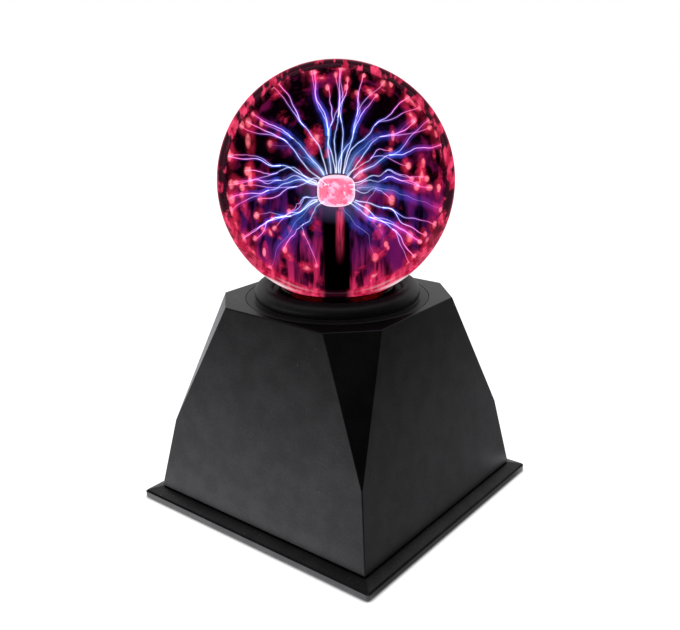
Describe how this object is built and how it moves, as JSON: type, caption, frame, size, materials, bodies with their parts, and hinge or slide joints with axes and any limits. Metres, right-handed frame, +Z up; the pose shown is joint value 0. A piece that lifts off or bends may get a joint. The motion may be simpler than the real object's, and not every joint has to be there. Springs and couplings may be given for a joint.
{
  "type": "plasma ball",
  "caption": "Desk plasma ball: hollow glass globe with a central electrode on a square tapered base with clipped corners, rear power socket and mode switch.",
  "frame": {"origin": "centre of the square base, on the plane of the rubber feet's undersides", "axes": "+Z up through the globe, -Y the front, +Y the rear wall with the socket and switch"},
  "size_m": [0.1284, 0.1284, 0.1937],
  "materials": {
    "base_plastic": "satin black injection-moulded ABS with a fine spark-eroded grain",
    "ring_plastic": "smoother satin black moulded ABS",
    "clear_glass": "clear soda-lime lamp glass, fire polished",
    "stem_glass": "clear glass tube, lit pink from the inside",
    "electrode_glow": "conductive filling that glows coral pink when the lamp is on",
    "liner_black": "matt black heat-resistant sleeve",
    "clear_silicone": "clear silicone that takes the glow's dark red",
    "white_silicone": "white room-temperature-curing silicone",
    "boot_rubber": "black moulded rubber",
    "foot_rubber": "black soft rubber, slightly dusty",
    "holder_plastic": "natural white nylon",
    "screw_steel": "zinc-plated steel",
    "board_green": "green solder mask over glass-fibre laminate",
    "ferrite": "dark grey sintered ferrite",
    "bobbin_nylon": "natural nylon",
    "copper_wire": "enamelled copper wire, wound in close turns",
    "winding_tape": "yellow polyester tape over the winding",
    "black_aluminium": "black anodised extruded aluminium",
    "pad_grey": "grey silicone heat-transfer pad",
    "component_black": "black moulding compound",
    "can_sleeve": "dark blue heat-shrink sleeve over an aluminium can",
    "film_red": "dipped red-brown epoxy",
    "resistor_body": "beige lacquer with coloured bands",
    "preset_blue": "blue moulded case",
    "preset_white": "white moulded rotor",
    "contact_metal": "tinned brass",
    "switch_metal": "pressed nickel-plated steel",
    "capsule_metal": "drawn aluminium can",
    "lead_red": "red and black PVC insulation",
    "lead_grey": "grey PVC insulation",
    "lead_blue": "blue PVC insulation",
    "high_voltage_red": "thick red silicone insulation"
  },
  "bodies": {
    "lamp": {"base_plate": "base_plastic", "rubber_feet": "foot_rubber", "base_screws": "screw_steel", "body_shell": "base_plastic", "collar_ring": "ring_plastic", "globe_gasket": "clear_silicone", "silicone_bond": "white_silicone", "neck_boot": "boot_rubber", "neck_holder": "holder_plastic", "holder_screws": "screw_steel", "glass_globe": "clear_glass", "electrode_stem": "stem_glass", "electrode_core": "electrode_glow", "stem_liner": "liner_black", "circuit_board": "board_green", "board_screws": "screw_steel", "transformer_core": "ferrite", "transformer_bobbin": "bobbin_nylon", "primary_winding": "copper_wire", "high_voltage_winding": "winding_tape", "heatsink": "black_aluminium", "thermal_pad": "pad_grey", "power_transistor": "component_black", "transistor_screw": "screw_steel", "electrolytic_capacitors": "can_sleeve", "film_capacitors": "film_red", "resistors": "resistor_body", "sound_chip": "component_black", "preset_body": "preset_blue", "jack_body": "component_black", "jack_pin": "contact_metal", "jack_nut": "screw_steel", "jack_terminals": "contact_metal", "switch_frame": "switch_metal", "switch_body": "component_black", "switch_screws": "screw_steel", "microphone_capsule": "capsule_metal", "microphone_grommet": "boot_rubber", "power_leads": "lead_red", "switch_leads": "lead_grey", "microphone_leads": "lead_blue", "high_voltage_lead": "high_voltage_red"},
    "switch_slider": {"switch_slider": "component_black"},
    "preset_rotor": {"preset_rotor": "preset_white"}
  },
  "joints": [
    {"name": "mode_switch_slide", "type": "slide", "parent": "lamp", "child": "switch_slider", "axis": [1, 0, 0], "range_m": [0, 0.005]},
    {"name": "preset_turn", "type": "hinge", "parent": "lamp", "child": "preset_rotor", "pos_m": [0.022, 0.023, 0.0135], "axis": [0, 0, 1], "range_deg": [-105, 105]}
  ]
}
